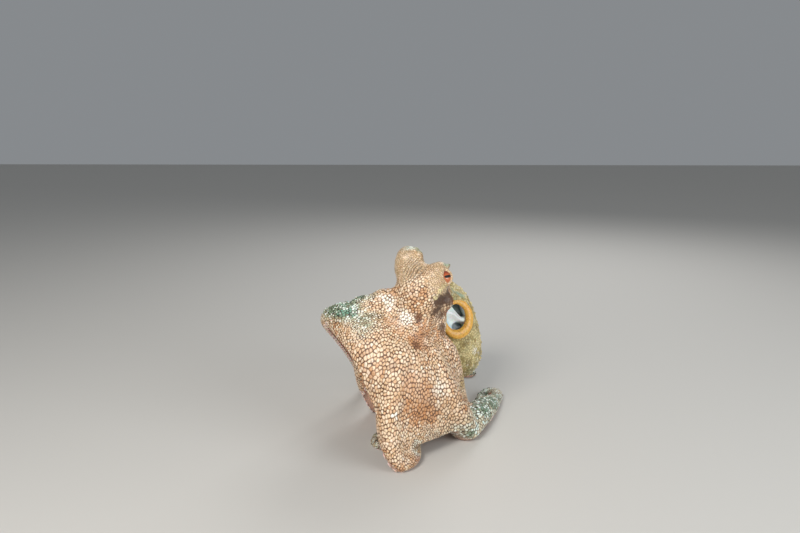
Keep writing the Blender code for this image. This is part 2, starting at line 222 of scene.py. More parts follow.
def ringPoints(centre, side, back, radius, count):
    ring = []
    for k in range(count):
        angle = 2 * math.pi * (k + 0.5) / count
        height = armForm["back"] if math.sin(angle) > 0 else armForm["sole"]
        ring.append(centre + side * radius * math.cos(angle) + back * radius * height * math.sin(angle))
    return ring


def swelling(arm, share):
    start, end, most = arm.get("fuller", (0, 1, 1))
    within = min(max((share - start) / (end - start), 0), 1)
    return 1 + (most - 1) * math.sin(math.pi * within) ** 0.7


def armStations(arm):
    points = armRoute(arm)
    back = heading(arm["leaves"][0], arm["leaves"][1] - 90)
    spread = 0
    stations = []
    for k, point in enumerate(points):
        spread = max(spread, (point - crown).to_2d().length)
        taper = (1 - k / (len(points) - 1)) ** armForm["taper"]
        radius = armForm["tip"] + (arm["radius"] - armForm["tip"]) * taper
        radius = min(radius, armForm["sector"] * spread) * swelling(arm, k / len(points))
        ahead = (points[min(k + 1, len(points) - 1)] - points[max(k - 1, 0)]).normalized()
        upright = (up - ahead * ahead.z).normalized()
        rolled = (armForm["roll"] * radius - point.z) / (armForm["roll"] * radius - radius)
        back = (back - ahead * back.dot(ahead)).normalized().lerp(upright, min(max(rolled, 0), 1)).normalized()
        side = ahead.cross(back)
        lowest = min(corner.z for corner in ringPoints(point, side, back, radius, armForm["facets"]))
        stations.append((point + up * max(0, -lowest) + shift, side, back, radius, ahead))
    return stations


stations = {name: armStations(arm) for name, arm in arms.items()}


def armShape(shape, rows, endRadius):
    rings = []
    for centre, side, back, radius, ahead in rows:
        ring = ringPoints(centre, side, back, radius, armForm["sides"])
        rings.append([shape.verts.new((p.x, p.y, max(p.z, 0))) for p in ring])
    for lower, upper in zip(rings, rings[1:]):
        for k in range(len(lower)):
            after = (k + 1) % len(lower)
            shape.faces.new((lower[k], lower[after], upper[after], upper[k]))
    shape.faces.new(rings[0][::-1])
    centre, _, _, radius, ahead = rows[-1]
    tip = shape.verts.new(centre + ahead * radius * endRadius)
    for k, vert in enumerate(rings[-1]):
        shape.faces.new((vert, rings[-1][(k + 1) % len(rings[-1])], tip))


# The skin: all flesh melted into one. The inner body is swelled by closeUp and drawn in again, which fills
# narrow gaps so that web, arms and head run together. Then free arms, lids and collar are melted in at a
# finer grain. Folds are rounded bodies that widen the web: centre and half axes in mm.
skinForm = dict(
    folds=[((23.7, 1, 131), (9.5, 11, 25)), ((27, -3, 152), (13, 9, 11)), ((-46, -6, 149), (20, 9, 10)),
           ((-30, -3, 152), (16, 10, 13))],
    closeUp=0.0035, bodyGrain=0.0017, grain=0.0013, fineGrain=0.00068, innerArm=0.17, lidRadius=0.0096,
)


def addModifier(piece, kind, **settings):
    modifier = piece.modifiers.new(kind.lower(), kind)
    for name, value in settings.items():
        setattr(modifier, name, value)


def melt(piece, grain):
    addModifier(piece, "REMESH", mode="VOXEL", voxel_size=grain)


def soften(piece, times):
    addModifier(piece, "SMOOTH", factor=0.5, iterations=times)


def meltedBody():
    shape = bmesh.new()
    for place, half in skinForm["folds"]:
        moved = Matrix.Translation(Vector(place) * 0.001 + shift)
        stretched = Matrix.Diagonal((*(Vector(half) * 0.001), 1))
        bmesh.ops.create_uvsphere(shape, u_segments=24, v_segments=16, radius=1, matrix=moved @ stretched)
    for name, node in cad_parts.items():
        if name.startswith("web_") or name in ("head", "mantle"):
            shape.from_mesh(node.data)
    for rows in stations.values():
        armShape(shape, rows[:round(skinForm["innerArm"] / armForm["step"])], 0.3)
    bmesh.ops.recalc_face_normals(shape, faces=shape.faces)
    body = newMesh("octopusSkin", shape)
    melt(body, skinForm["grain"])
    addModifier(body, "DISPLACE", strength=skinForm["closeUp"], mid_level=0)
    melt(body, skinForm["bodyGrain"])
    soften(body, 4)
    addModifier(body, "DISPLACE", strength=-skinForm["closeUp"], mid_level=0)
    melt(body, skinForm["grain"])
    soften(body, 10)
    return applied(body)


# Each eye: where it looks (plan angle, dip), and how far its ball lies from the model's own.
eyes = {
    "eye_left": dict(looks=(35, -22), moved=(-0.002, 0, 0.001)),
    "eye_right": dict(looks=(-122, -12), moved=(0.004, 0.001, -0.001)),
}
eyeForm = dict(ball=0.0085, openWide=31, openTall=46, sunk=0.0074, rim=0.0007)


def eyeFrame(name):
    low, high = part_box(name)
    gaze = heading(*eyes[name]["looks"])
    across = gaze.cross(up).normalized()
    return (low + high) / 2 + Vector(eyes[name]["moved"]), across, across.cross(gaze), gaze


# The mantle's mouth: where it opens and which way, half widths of its rim, and the collar of skin behind it.
opening = dict(place=(0.0492, 0.0690, 0.1145), facing=(0.50, -0.86, 0.22), radius=0.0160)
mouthForm = dict(half=(0.0170, 0.0182), aside=-0.0020, lower=-0.0014)
collarForm = dict(around=96, thick=0.0020, flare=0.0030, deep=0.024)


def mouthFrame():
    facing = Vector(opening["facing"]).normalized()
    upright = (up - facing * facing.z).normalized()
    across = upright.cross(facing)
    centre = Vector(opening["place"]) + shift + across * mouthForm["aside"] + upright * mouthForm["lower"]
    return centre, across, upright, facing


def rimDirections(turn, across, upright):
    # Straight out of the mouth's middle, and out to its oval rim.
    wide, tall = mouthForm["half"]
    out = across * math.cos(turn) + upright * math.sin(turn)
    return out, across * math.cos(turn) * wide + upright * math.sin(turn) * tall


def joinRings(shape, rings):
    for k, ring in enumerate(rings):
        after = rings[(k + 1) % len(rings)]
        for j, vert in enumerate(ring):
            right = (j + 1) % len(ring)
            shape.faces.new((vert, after[j], after[right], ring[right]))


def addCollar(shape):
    centre, across, upright, facing = mouthFrame()
    thick, flare, deep = collarForm["thick"], collarForm["flare"], collarForm["deep"]
    section = ((thick, 0), (thick + flare, deep), (flare - thick, deep), (-thick, 0))
    rings = []
    for k in range(collarForm["around"]):
        out, rim = rimDirections(2 * math.pi * k / collarForm["around"], across, upright)
        spots = [centre + rim + out * aside - facing * depth for aside, depth in section]
        rings.append([shape.verts.new(spot) for spot in spots])
    joinRings(shape, rings)


def meltedSkin():
    skin = meltedBody()
    shape = bmesh.new()
    for name in eyes:
        bmesh.ops.create_uvsphere(shape, u_segments=32, v_segments=20, radius=skinForm["lidRadius"],
                                  matrix=Matrix.Translation(eyeFrame(name)[0]))
    for rows in stations.values():
        armShape(shape, rows, 1)
    addCollar(shape)
    bmesh.ops.recalc_face_normals(shape, faces=shape.faces)
    shape.from_mesh(skin.data)
    shape.to_mesh(skin.data)
    shape.free()
    melt(skin, skinForm["grain"])
    soften(skin, 6)
    melt(skin, skinForm["fineGrain"])
    soften(skin, 4)
    return applied(skin)


skin = meltedSkin()
print("skin melted", len(skin.data.vertices), "points")


def vertexRows(values, key):
    flat = np.empty(len(values) * 3, np.float32)
    values.foreach_get(key, flat)
    return flat.reshape(-1, 3)


def vertexPlaces(piece):
    return vertexRows(piece.data.vertices, "co")


def storeFloat(piece, name, values):
    made = piece.data.attributes.new(name, "FLOAT", "POINT")
    made.data.foreach_set("value", np.asarray(values, np.float32))


def storeColour(piece, name, values):
    made = piece.data.attributes.new(name, "FLOAT_COLOR", "POINT")
    rgba = np.ones((len(values), 4), np.float32)
    rgba[:, :3] = values
    made.data.foreach_set("color", rgba.ravel())


def ramp(value, start, end):
    part = np.clip((value - start) / (end - start), 0, 1)
    return part * part * (3 - 2 * part)


# Where a point of skin lies along its nearest arm: arm and station.
armNames = list(stations)
armRows = [(name, k) for name in armNames for k in range(len(stations[name]))]
armTree = kdtree.KDTree(len(armRows))
for index, (name, k) in enumerate(armRows):
    armTree.insert(stations[name][k][0], index)
armTree.balance()
armCentre, _, armBack, armRadius, armAhead = (
    row(part) for part in zip(*(stations[name][k] for name, k in armRows)))

places = vertexPlaces(skin)
normals = vertexRows(skin.data.vertex_normals, "vector")
nearest = np.fromiter((armTree.find(place)[1] for place in places.tolist()), np.int32, len(places))
own = places - row(shift)


def farFrom(place, radius, spots=own):
    # Distance from a place given in mm, as a share of a radius in mm.
    return np.linalg.norm(spots * 1000 - row(place), axis=1) / radius


# Rounded regions of the body, in the animal's frame: centre and half axes.
regions = {
    "rightOrbit": ((-0.006, 0.006, 0.190), (0.024, 0.024, 0.026)),
    "leftOrbit": ((0.027, -0.004, 0.176), (0.020, 0.022, 0.022)),
    "head": ((0.004, 0.002, 0.160), (0.040, 0.036, 0.030)),
    "mantle": ((0.045, 0.095, 0.100), (0.055, 0.050, 0.085)),
}


def within(name, soft=0.35):
    centre, half = regions[name]
    far = np.linalg.norm((own - row(centre)) / row(half), axis=1)
    return 1 - ramp(far, 1 - soft, 1 + soft)


inOrbit = np.maximum(within("rightOrbit"), within("leftOrbit"))
inHead = np.maximum(within("head"), inOrbit)
inMantle = within("mantle") * ramp(own[:, 1], 0.030, 0.050) * ramp(own[:, 2], 0.026, 0.036)
print("regions")

# Cells of the skin: least spacing in each region, and how far they are drawn out along the arm.
cellForm = dict(finer=0.35, web=0.0029, orbit=0.0012, head=0.0025, mantle=0.0021, finest=0.0010,
                perRadius=0.20, loose=(0.55, 1.45), stretch=1.35, candidates=260000, grid=0.004, neighbours=7,
                seed=7, rounding=6500)


def cellFields():
    radius = armRadius[nearest]
    size = np.clip(radius * cellForm["perRadius"], cellForm["finest"], cellForm["web"])
    for weight, region in ((inMantle, "mantle"), (inHead, "head"), (inOrbit, "orbit")):
        size = size * (1 - weight) + cellForm[region] * weight
    finer = ramp(own[:, 2], 0.115, 0.130) * ramp(-own[:, 0], 0.030, 0.045) * ramp(normals[:, 2], 0.2, 0.6)
    size = size * (1 - cellForm["finer"] * finer)
    along = armAhead[nearest].copy()
    along[inMantle > 0.5] = (0, 0.3, 1)
    wrinkle = row((0.75, 0.1, 0.66))
    along = blend(along, wrinkle, inHead)
    along -= normals * np.sum(along * normals, axis=1)[:, None]
    along /= np.maximum(np.linalg.norm(along, axis=1), 0.0001)[:, None]
    return size.astype(np.float32), along


cellSize, cellAlong = cellFields()
squash = 1 - 1 / cellForm["stretch"] ** 2


def scatterCells():
    chance = np.random.default_rng(cellForm["seed"])
    order = chance.permutation(len(places))[:cellForm["candidates"]]
    loosened = chance.uniform(*cellForm["loose"], len(places)).tolist()
    buckets = {}
    kept = []
    step = cellForm["grid"]
    spots = sorted(itertools.product((-1, 0, 1), repeat=3), key=any)
    for index, (x, y, z), size, (ax, ay, az) in zip(
            order.tolist(), places[order].tolist(), cellSize[order].tolist(), cellAlong[order].tolist()):
        i, j, k = int(x // step), int(y // step), int(z // step)
        limit = size * size * loosened[index]
        for di, dj, dk in spots:
            for px, py, pz in buckets.get((i + di, j + dj, k + dk), ()):
                dx, dy, dz = x - px, y - py, z - pz
                run = dx * ax + dy * ay + dz * az
                if dx * dx + dy * dy + dz * dz - squash * run * run < limit:
                    break
            else:
                continue
            break
        else:
            buckets.setdefault((i, j, k), []).append((x, y, z))
            kept.append(index)
    return kept


cells = scatterCells()
print("cells", len(cells))


def nearestCells():
    tree = kdtree.KDTree(len(cells))
    for index, place in enumerate(places[cells].tolist()):
        tree.insert(place, index)
    tree.balance()
    count = cellForm["neighbours"]
    hits = (hit[1] for place in places.tolist() for hit in tree.find_n(place, count))
    return np.fromiter(hits, np.int32, len(places) * count).reshape(-1, count)


def cellBorders():
    # The cell each point lies in, its distance to the border of that cell and to its middle.
    around = nearestCells()
    offset = places[cells][around] - places[:, None, :]
    run = np.sum(offset * cellAlong[:, None, :], axis=2)
    square = np.sum(offset * offset, axis=2) - squash * run * run
    order = np.argsort(square, axis=1)
    rows = np.arange(len(places))[:, None]
    around, offset, square = around[rows, order], offset[rows, order], square[rows, order]
    apart = np.linalg.norm(offset[:, 1:] - offset[:, :1], axis=2)
    edges = (square[:, 1:] - square[:, :1]) / (2 * np.maximum(apart, 0.0003))
    rounded = -np.log(np.sum(np.exp(-edges * cellForm["rounding"]), axis=1)) / cellForm["rounding"]
    return around[:, 0], np.maximum(rounded, 0), np.sqrt(square[:, 0])


cellOf, border, middle = cellBorders()
print("cell borders")

# Colours of the skin by name, as they look.
palette = {name: row(linear(colour)) for name, colour in dict(
    cream=(0.95, 0.86, 0.75), peach=(0.87, 0.73, 0.58), orange=(0.77, 0.54, 0.34), brown=(0.44, 0.28, 0.18),
    white=(0.99, 0.98, 0.94), line=(0.34, 0.21, 0.12), olive=(0.72, 0.65, 0.41), straw=(0.92, 0.87, 0.66),
    oliveLine=(0.46, 0.39, 0.20), greyGreen=(0.50, 0.59, 0.49), turquoise=(0.38, 0.62, 0.54),
    ice=(0.92, 0.98, 0.95), greyLine=(0.11, 0.13, 0.10), beige=(0.84, 0.81, 0.71), oral=(0.82, 0.64, 0.56),
    # The darkest colour on the next line is dark brown skin deepened as painted shade.
    hollow=(0.84, 0.95, 0.98), red=(0.68, 0.28, 0.18), shade=(0.25, 0.15, 0.09), rust=(0.55, 0.30, 0.13),
    tan=(0.78, 0.69, 0.54),
).items()}

# Marks on the skin: place and radius in mm, colour and strength.
marks = [
    ((-25, -15, 153), 9, "white", 0.9), ((-16, -19, 147), 6, "white", 0.5), ((-8, -22, 139), 9, "white", 0.9),
    ((4, -30, 117), 12, "orange", 0.75), ((3, -21, 140), 4.5, "brown", 0.85), ((2, -33, 115), 5, "brown", 0.85),
    ((10, -22, 124), 7, "orange", 0.5), ((6, -57, 68), 24, "orange", 0.55), ((-6, -57, 90), 10, "orange", 0.45),
    ((18, -48, 48), 13, "orange", 0.45), ((26, -41, 73), 9, "white", 0.55), ((-18, -73, 58), 3, "white", 1.0),
    # The bluish-white ice spot on the foot's right side is a painted highlight.
    ((6, -60, 18), 9, "ice", 1.0), ((8, -63, 8), 7, "red", 0.45),
    # The first turquoise mark on the next line, on top of the right eye bump, is a painted cyan top light.
    ((4, 6, 204), 7, "turquoise", 0.55), ((88, 98, 24), 12, "turquoise", 0.35), ((0, -66, 8), 16, "brown", 0.22),
    # The darkest brown marks on the next three lines, between the eye and the mantle's mouth, are dark skin
    # deepened as painted shade of that recess.
    ((34, -14, 180), 4, "brown", 0.4), ((27, -17, 155), 10, "shade", 0.95), ((34, -8, 157), 9, "shade", 0.9),
    ((24, -18, 146), 7, "shade", 0.9),
    ((27, -13, 138), 7.5, "shade", 0.85), ((29, -10, 127), 7, "shade", 0.8), ((32, -8, 118), 5, "shade", 0.6),
    ((38, -2, 152), 6, "rust", 0.9), ((35, -4, 145), 5, "rust", 0.9), ((33, -5, 139), 4, "rust", 0.7),
    ((29, -14, 171), 4, "straw", 0.8), ((26, -17, 166), 4, "straw", 0.8), ((22, -20, 161), 3.5, "straw", 0.6),
    # The grey-green mark on the next line, on top of the right eye bump, is a painted cyan top light.
    ((22, -22, 135), 6, "orange", 0.5), ((-5, 4, 208), 5, "greyGreen", 0.7),
    ((52, 22, 80), 14, "greyGreen", 0.75), ((50, 12, 60), 12, "olive", 0.6),
    ((71, 80, 70), 5, "white", 0.9), ((46, 50, 66), 18, "greyGreen", 0.8), ((-34, -33, 130), 14, "cream", 0.3),
    # The turquoise and ice marks on the next three lines, along the tops of the mantle and the eye bumps, are a
    # painted cyan top light.
    ((50, 80, 150), 11, "turquoise", 0.9), ((40, 72, 158), 9, "ice", 0.8), ((58, 84, 140), 8, "turquoise", 0.7),
    ((32, 64, 164), 9, "turquoise", 0.7), ((46, 78, 152), 4, "ice", 0.9), ((22, 2, 190), 8, "turquoise", 0.5),
    ((32, -3, 190), 6, "turquoise", 0.65), ((-6, 4, 206), 7, "ice", 0.5), ((78, 96, 80), 9, "straw", 0.7),
    ((62, 72, 70), 11, "straw", 0.7), ((68, 84, 95), 8, "straw", 0.6),
]


def clouds(spots, size, seed):
    away = Vector((seed * 7.1, seed * 3.3, seed * 5.7))
    return row([noise.fractal(Vector(spot) / size + away, 1.0, 2.0, 3) for spot in spots])


def tinted(colours, wanted, weight):
    return blend(colours, palette[wanted], weight)


def insideMouth(spots):
    # How far a point lies inside the mantle's opening: 0 outside, 1 within.
    facing = row(Vector(opening["facing"]).normalized())
    offset = spots - row(opening["place"])
    depth = offset @ facing
    aside = np.linalg.norm(offset - depth[:, None] * facing, axis=1)
    within = 1 - ramp(aside, opening["radius"], opening["radius"] + 0.0015)
    return within * ramp(depth, -0.038, -0.034) * (1 - ramp(depth, -0.002, 0.002))


def cellColours():
    spots, facing, near = own[cells], normals[cells], nearest[cells]
    chance = np.random.default_rng(11)
    tone = chance.random(len(cells)).astype(np.float32)
    fleck = chance.random(len(cells)).astype(np.float32)
    broad, middling = clouds(spots, 0.030, 1), clouds(spots, 0.011, 2)
    arm = np.array([armNames.index(name) for name, _ in armRows])[near]
    along = row([k / len(stations[name]) for name, k in armRows])[near]
    topside = ramp(facing[:, 2], 0.40, 0.80)
    topside = np.maximum(topside, ramp(-spots[:, 0], 0.040, 0.062) * ramp(spots[:, 2], 0.128, 0.142))
    colours = np.tile(palette["peach"], (len(cells), 1))
    colours = tinted(colours, "cream", ramp(tone + 0.35 * middling, 0.0, 0.9))
    colours = tinted(colours, "orange", 0.6 * ramp(broad, 0.0, 0.5) * ramp(tone, 0.95, 0.2))
    colours = tinted(colours, "orange", 0.35 * (1 - ramp(fleck, 0.08, 0.16)))
    colours = tinted(colours, "white", 0.35 * ramp(fleck, 0.88, 0.96))
    colours = tinted(colours, "brown", 0.4 * ramp(middling, 0.4, 0.8))
    colours = tinted(colours, "tan", 0.75 * inOrbit[cells])
    colours = tinted(colours, "cream", 0.55 * inOrbit[cells] * ramp(tone, 0.3, 0.9))
    free = np.where(arm == armNames.index("l2"), ramp(along, 0.26, 0.36), 0.8 * ramp(along, 0.50, 0.75))
    strip = (arm == armNames.index("r1")) * topside * ramp(along, 0.02, 0.10) * (1 - inHead[cells])
    grey = np.maximum(free, strip)
    patchy = tinted(np.tile(palette["beige"], (len(cells), 1)), "greyGreen",
                    np.maximum(ramp(broad + tone * 0.5, 0.1, 0.5), 0.75 * strip))
    # Turquoise is stronger on cells that face up, most along the top of the first right arm: painted cyan top
    # light over the arms' own grey-green and turquoise mottling.
    patchy = tinted(patchy, "turquoise", (0.35 + 0.35 * strip) * ramp(middling + 0.35 * topside, 0.35, 0.75))
    patchy = tinted(patchy, "ice", 0.9 * ramp(fleck, 0.50, 0.75))
    patchy = tinted(patchy, "brown", 0.35 * (1 - ramp(fleck, 0.08, 0.16)))
    colours = blend(colours, patchy, grey)
    bag = inMantle[cells]
    olive = np.tile(palette["olive"], (len(cells), 1))
    olive = tinted(olive, "straw", ramp(tone + 0.4 * middling, 0.35, 1.0))
    olive = tinted(olive, "greyGreen", 0.6 * ramp(broad, 0.1, 0.6))
    olive = tinted(olive, "oliveLine", 0.55 * ramp(middling, 0.15, 0.6))
    olive = tinted(olive, "straw", 0.8 * ramp(-middling, 0.05, 0.45))
    olive = tinted(olive, "white", 0.5 * ramp(fleck, 0.9, 0.97))
    colours = blend(colours, olive, bag)
    for place, radius, wanted, strength in marks:
        far = farFrom(place, radius, spots) + 0.45 * middling
        colours = tinted(colours, wanted, strength * (1 - ramp(far, 0.55, 1.15)))
    return colours, grey


cellColour, cellGrey = cellColours()
print("cell colours")

# Slanting wrinkles between the eyes: place and reach in mm, spacing and height in metres, and the painted shade
# in their furrows.
wrinkles = dict(place=(-1, -10, 187), reach=17, slant=(1.0, 0.0, -1.05), spacing=0.0027, height=0.00060,
                dark=0.60)


def wrinkleWave():
    run = own @ row(Vector(wrinkles["slant"]).normalized())
    bent = run + 0.0012 * np.sin(own[:, 0] * 260 + 1.3) + 0.0008 * np.sin(own[:, 2] * 410)
    fading = 1 - ramp(farFrom(wrinkles["place"], wrinkles["reach"]), 0.45, 1.0)
    return fading * (0.5 - 0.5 * np.cos(bent * 2 * math.pi / wrinkles["spacing"]))


# Height of the cells on the web and round the eyes, full at this cell width, and small points on some cells.
relief = dict(web=0.00040, orbit=0.00022, fullWidth=0.0026, spike=0.0011, spikeWidth=0.0011, spiked=0.14)
# Bumps of the eyes and larger papillae: place, radius and height in mm.
papillae = [
    ((2, 4, 206), 4.5, 3.8), ((-12, 0, 203), 3, 1.2), ((5, 2, 200), 12, 3.2), ((32, -4, 187), 3.6, 3.6),
    ((27, -3, 188), 12, 3.0), ((24, -6, 188), 2.6, 1.4), ((35, -2, 186), 2.4, 1.3), ((-21, 6, 190), 2.5, 1.3),
    ((85, 92, 100), 3.5, 2.4), ((86, 95, 78), 3, 2.2),
    ((80, 100, 55), 3.2, 2.4), ((84, 90, 120), 3, 1.8), ((66, 78, 50), 3, 2.2), ((74, 84, 84), 2.6, 1.6),
    ((60, 72, 84), 2.6, 1.5), ((76, 80, 105), 2.8, 1.8), ((62, 120, 150), 4, 2.8), ((40, 120, 140), 4, 2.8),
    ((52, 132, 110), 4, 2.6), ((28, 118, 108), 4, 2.4), ((70, 128, 84), 4, 2.4), ((40, 128, 76), 4, 2.4),
]
# The broad hollow pressed into the mantle's top: place, reach and depth in mm.
dent = ((50, 86, 154), 30, 12)
# Where the sole begins: share of an arm's radius round it, and how far the surface turns from the arm's back.
soleForm = dict(round=(1.25, 1.6), turned=(-0.80, -0.50), below=(-0.80, -0.45))


def soleWeight():
    aboral = ramp(np.sum(normals * armBack[nearest], axis=1), *soleForm["turned"])
    far = np.linalg.norm(places - armCentre[nearest], axis=1) / armRadius[nearest]
    sole = np.maximum((1 - aboral) * (1 - ramp(far, *soleForm["round"])), webUnderside())
    starts = {name: len(stations[name]) * arms[name].get("soleFrom", 0) for name in stations}
    hidden = np.array([k < starts[name] for name, k in armRows])[nearest]
    return sole * (1 - inHead) * (1 - inMantle) * (1 - hidden * ramp(normals[:, 2], *soleForm["below"]))


def raiseSkin(plain, inside, furrow):
    edge = np.clip(border / cellSize, 0, 0.5)
    dome = ramp(edge, 0.0, 0.17) * (0.85 + 0.3 * ramp(edge, 0.1, 0.5))
    height = relief["web"] * (1 - inOrbit) + relief["orbit"] * inOrbit
    height = height * np.clip(cellSize / relief["fullWidth"], 0.25, 1) * (1 - plain)
    roughness = np.clip(np.maximum(inMantle, cellGrey[cellOf]), 0, 1) * (1 - plain)
    spiked = (np.random.default_rng(5).random(len(cells)) < relief["spiked"])[cellOf]
    spike = relief["spike"] * spiked * roughness * np.exp(-(middle / relief["spikeWidth"]) ** 2)
    lift = dome * height + spike - wrinkles["height"] * furrow
    for place, radius, tall in papillae:
        lift += tall * 0.001 * (1 - ramp(farFrom(place, radius), 0, 1)) ** 1.3 * (1 - inside)
    place, radius, deep = dent
    lift -= deep * 0.001 * (1 - ramp(farFrom(place, radius), 0, 1)) * (1 - inside) * (1 - inHead)
    moved = places + normals * lift[:, None]
    for name in eyes:
        moved = openedLids(moved, name)
    moved[:, 2] = np.maximum(moved[:, 2], 0)
    skin.data.vertices.foreach_set("co", moved.ravel())
    skin.data.update()


def paintSkin(sole, inside, furrow):
    # The furrows are painted darker: painted shade in the creases.
    colours = cellColour[cellOf] * (1 - wrinkles["dark"] * furrow ** 2)[:, None]
    lines = tinted(np.tile(palette["line"], (len(places), 1)), "oliveLine", inMantle)
    lines = tinted(lines, "greyLine", cellGrey[cellOf] * (1 - inMantle))
    lines = blend(lines, colours, 0.45 * inOrbit + 0.45 * inMantle)
    colours, lines = tinted(colours, "oral", 0.92 * sole), tinted(lines, "oral", 0.8 * sole)
    storeColour(skin, "cellColour", tinted(colours, "hollow", inside))
    storeColour(skin, "lineColour", tinted(lines, "hollow", inside))
    storeFloat(skin, "border", border / cellSize)


def openedLids(points, name):
    centre, across, above, gaze = (row(part) for part in eyeFrame(name))
    offset = points - centre
    far = np.linalg.norm(offset, axis=1)
    ahead = offset @ gaze
    turn = np.degrees(np.arctan2(offset @ across, ahead)) / eyeForm["openWide"]
    rise = np.degrees(np.arctan2(offset @ above, ahead)) / eyeForm["openTall"]
    ring = np.sqrt(turn ** 2 + rise ** 2)
    near = (ahead > 0) & (far < 0.016)
    inside = near * (1 - ramp(ring, 0.90, 1.12))
    swell = near * eyeForm["rim"] * np.exp(-((ring - 1.28) / 0.2) ** 2)
    wanted = far * (1 - inside) + np.minimum(far, eyeForm["sunk"]) * inside + swell
    return centre + offset * (wanted / np.maximum(far, 0.0001))[:, None]


def webUnderside():
    # Faces that look in under the body, away from the outside of the skirt.
    outward = places - row(crown + shift)
    outward[:, 2] = 0
    outward /= np.maximum(np.linalg.norm(outward, axis=1), 0.001)[:, None]
    below = 1 - ramp(own[:, 2], 0.130, 0.145)
    turned = np.sum(normals * outward, axis=1) + 0.8 * np.maximum(normals[:, 2], 0)
    return below * (1 - ramp(turned, -0.45, -0.08))


sole, inside, furrow = soleWeight(), insideMouth(own), wrinkleWave()
raiseSkin(np.maximum(sole, inside), inside, furrow)
paintSkin(sole, inside, furrow)
print("skin painted")


def nodesOf(name, values):
    made = bpy.data.materials.new(name)
    made.use_nodes = True
    shader = made.node_tree.nodes["Principled BSDF"]
    for key, value in values.items():
        shader.inputs[key].default_value = value
    return made, made.node_tree, shader


def added(tree, kind, links=(), **settings):
    node = tree.nodes.new(kind)
    for key, value in settings.items():
        if key in node.inputs:
            node.inputs[key].default_value = value
        else:
            setattr(node, key, value)
    for socket, source in links:
        tree.links.new(source, node.inputs[socket])
    return node


def attribute(tree, name):
    return added(tree, "ShaderNodeAttribute", attribute_name=name)


def mixed(tree, first, second, factor, way="MIX"):
    node = added(tree, "ShaderNodeMix", data_type="RGBA", blend_type=way)
    for socket, value in ((node.inputs[6], first), (node.inputs[7], second), (node.inputs[0], factor)):
        if hasattr(value, "node"):
            tree.links.new(value, socket)
        else:
            socket.default_value = value
    return node.outputs[2]


def noiseOf(tree, scale, detail, **more):
    coords = added(tree, "ShaderNodeTexCoord").outputs["Object"]
    node = added(tree, "ShaderNodeTexNoise", [("Vector", coords)], Scale=scale, Detail=detail, **more)
    return node.outputs["Fac"]


def roughened(tree, shader, height, strength, distance):
    bump = added(tree, "ShaderNodeBump", [("Height", height)], Strength=strength, Distance=distance)
    tree.links.new(bump.outputs["Normal"], shader.inputs["Normal"])


def mapped(tree, source, start, end, low, high):
    node = added(tree, "ShaderNodeMapRange", [("Value", source)], interpolation_type="SMOOTHSTEP")
    for socket, value in zip(("From Min", "From Max", "To Min", "To Max"), (start, end, low, high)):
        node.inputs[socket].default_value = value
    return node.outputs["Result"]


def skinMaterial():
    made, tree, shader = nodesOf("octopusSkin", {
        "Subsurface Weight": 0.12, "Subsurface Radius": (1.0, 0.45, 0.25), "Subsurface Scale": 0.003,
        "Coat Weight": 0.12, "Coat Roughness": 0.22})
    grain = noiseOf(tree, 900, 3, Roughness=0.6)
    blotch = noiseOf(tree, 230, 2)
    coords = added(tree, "ShaderNodeTexCoord").outputs["Object"]
    dots = added(tree, "ShaderNodeTexVoronoi", [("Vector", coords)], Scale=1500, Randomness=1.0)
    widened = added(tree, "ShaderNodeMath", [(0, attribute(tree, "border").outputs["Fac"])], operation="ADD")
    tree.links.new(mapped(tree, blotch, 0.3, 0.7, -0.03, 0.06), widened.inputs[1])
    # Each cell is painted darker toward its border and a little brighter in its middle, a painted shading and
    # highlight of its dome; then come brown dots, dark lines between cells and a fine grain.
    toMiddle = mapped(tree, widened.outputs[0], 0.06, 0.26, 0, 1)
    colour = mixed(tree, (0.70, 0.58, 0.46, 1), (1.06, 1.06, 1.06, 1), toMiddle)
    colour = mixed(tree, attribute(tree, "cellColour").outputs["Color"], colour, 1.0, "MULTIPLY")
    dotted = mapped(tree, dots.outputs["Distance"], 0.10, 0.32, 0.35, 0.0)
    colour = mixed(tree, colour, (0.45, 0.24, 0.13, 1), dotted)
    inCell = mapped(tree, widened.outputs[0], 0.02, 0.155, 0.0, 1.0)
    colour = mixed(tree, attribute(tree, "lineColour").outputs["Color"], colour, inCell)
    colour = mixed(tree, colour, mapped(tree, grain, 0.25, 0.75, 0.80, 1.16), 1.0, "MULTIPLY")
    tree.links.new(colour, shader.inputs["Base Color"])
    tree.links.new(mapped(tree, grain, 0.3, 0.7, 0.36, 0.56), shader.inputs["Roughness"])
    roughened(tree, shader, grain, 0.35, 0.0006)
    return made


skin.data.materials.clear()
skin.data.materials.append(skinMaterial())
print("skin material")


def plainMaterial(name, colour, roughness, coat=0, subsurface=0, speckle=None):
    made, tree, shader = nodesOf(name, {
        "Roughness": roughness, "Coat Weight": coat, "Coat Roughness": 0.05, "Subsurface Weight": subsurface,
        "Subsurface Scale": 0.003})
    grain = noiseOf(tree, 700, 3)
    first = (*linear(colour), 1)
    second = (*linear(speckle), 1) if speckle else tuple(c * 0.78 for c in first[:3]) + (1,)
    colours = mixed(tree, first, second, mapped(tree, grain, 0.42, 0.68, 0, 1))
    tree.links.new(colours, shader.inputs["Base Color"])
    roughened(tree, shader, grain, 0.25, 0.0004)
    return made


def finishPiece(piece, made, slot, *nodes):
    piece.data.materials.clear()
    piece.data.materials.append(made)
    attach(piece, "root")
    if nodes:
        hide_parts(*nodes)
    return piece


# Eyes: an orange iris all over the front of the ball, a level black slit, and a clear wet coat.
irisForm = dict(slitWide=0.0044, slitTall=0.00125, slitLift=0.00022, rings=40, sides=72,
                orange=(0.74, 0.36, 0.18), dark=(0.45, 0.14, 0.08), gold=(0.88, 0.60, 0.36),
                pale=(0.80, 0.84, 0.86))


def irisMaterial():
    made, tree, shader = nodesOf("iris", {"Roughness": 0.30, "Coat Weight": 1.0, "Coat Roughness": 0.03})
    tree.links.new(attribute(tree, "irisColour").outputs["Color"], shader.inputs["Base Color"])
    return made


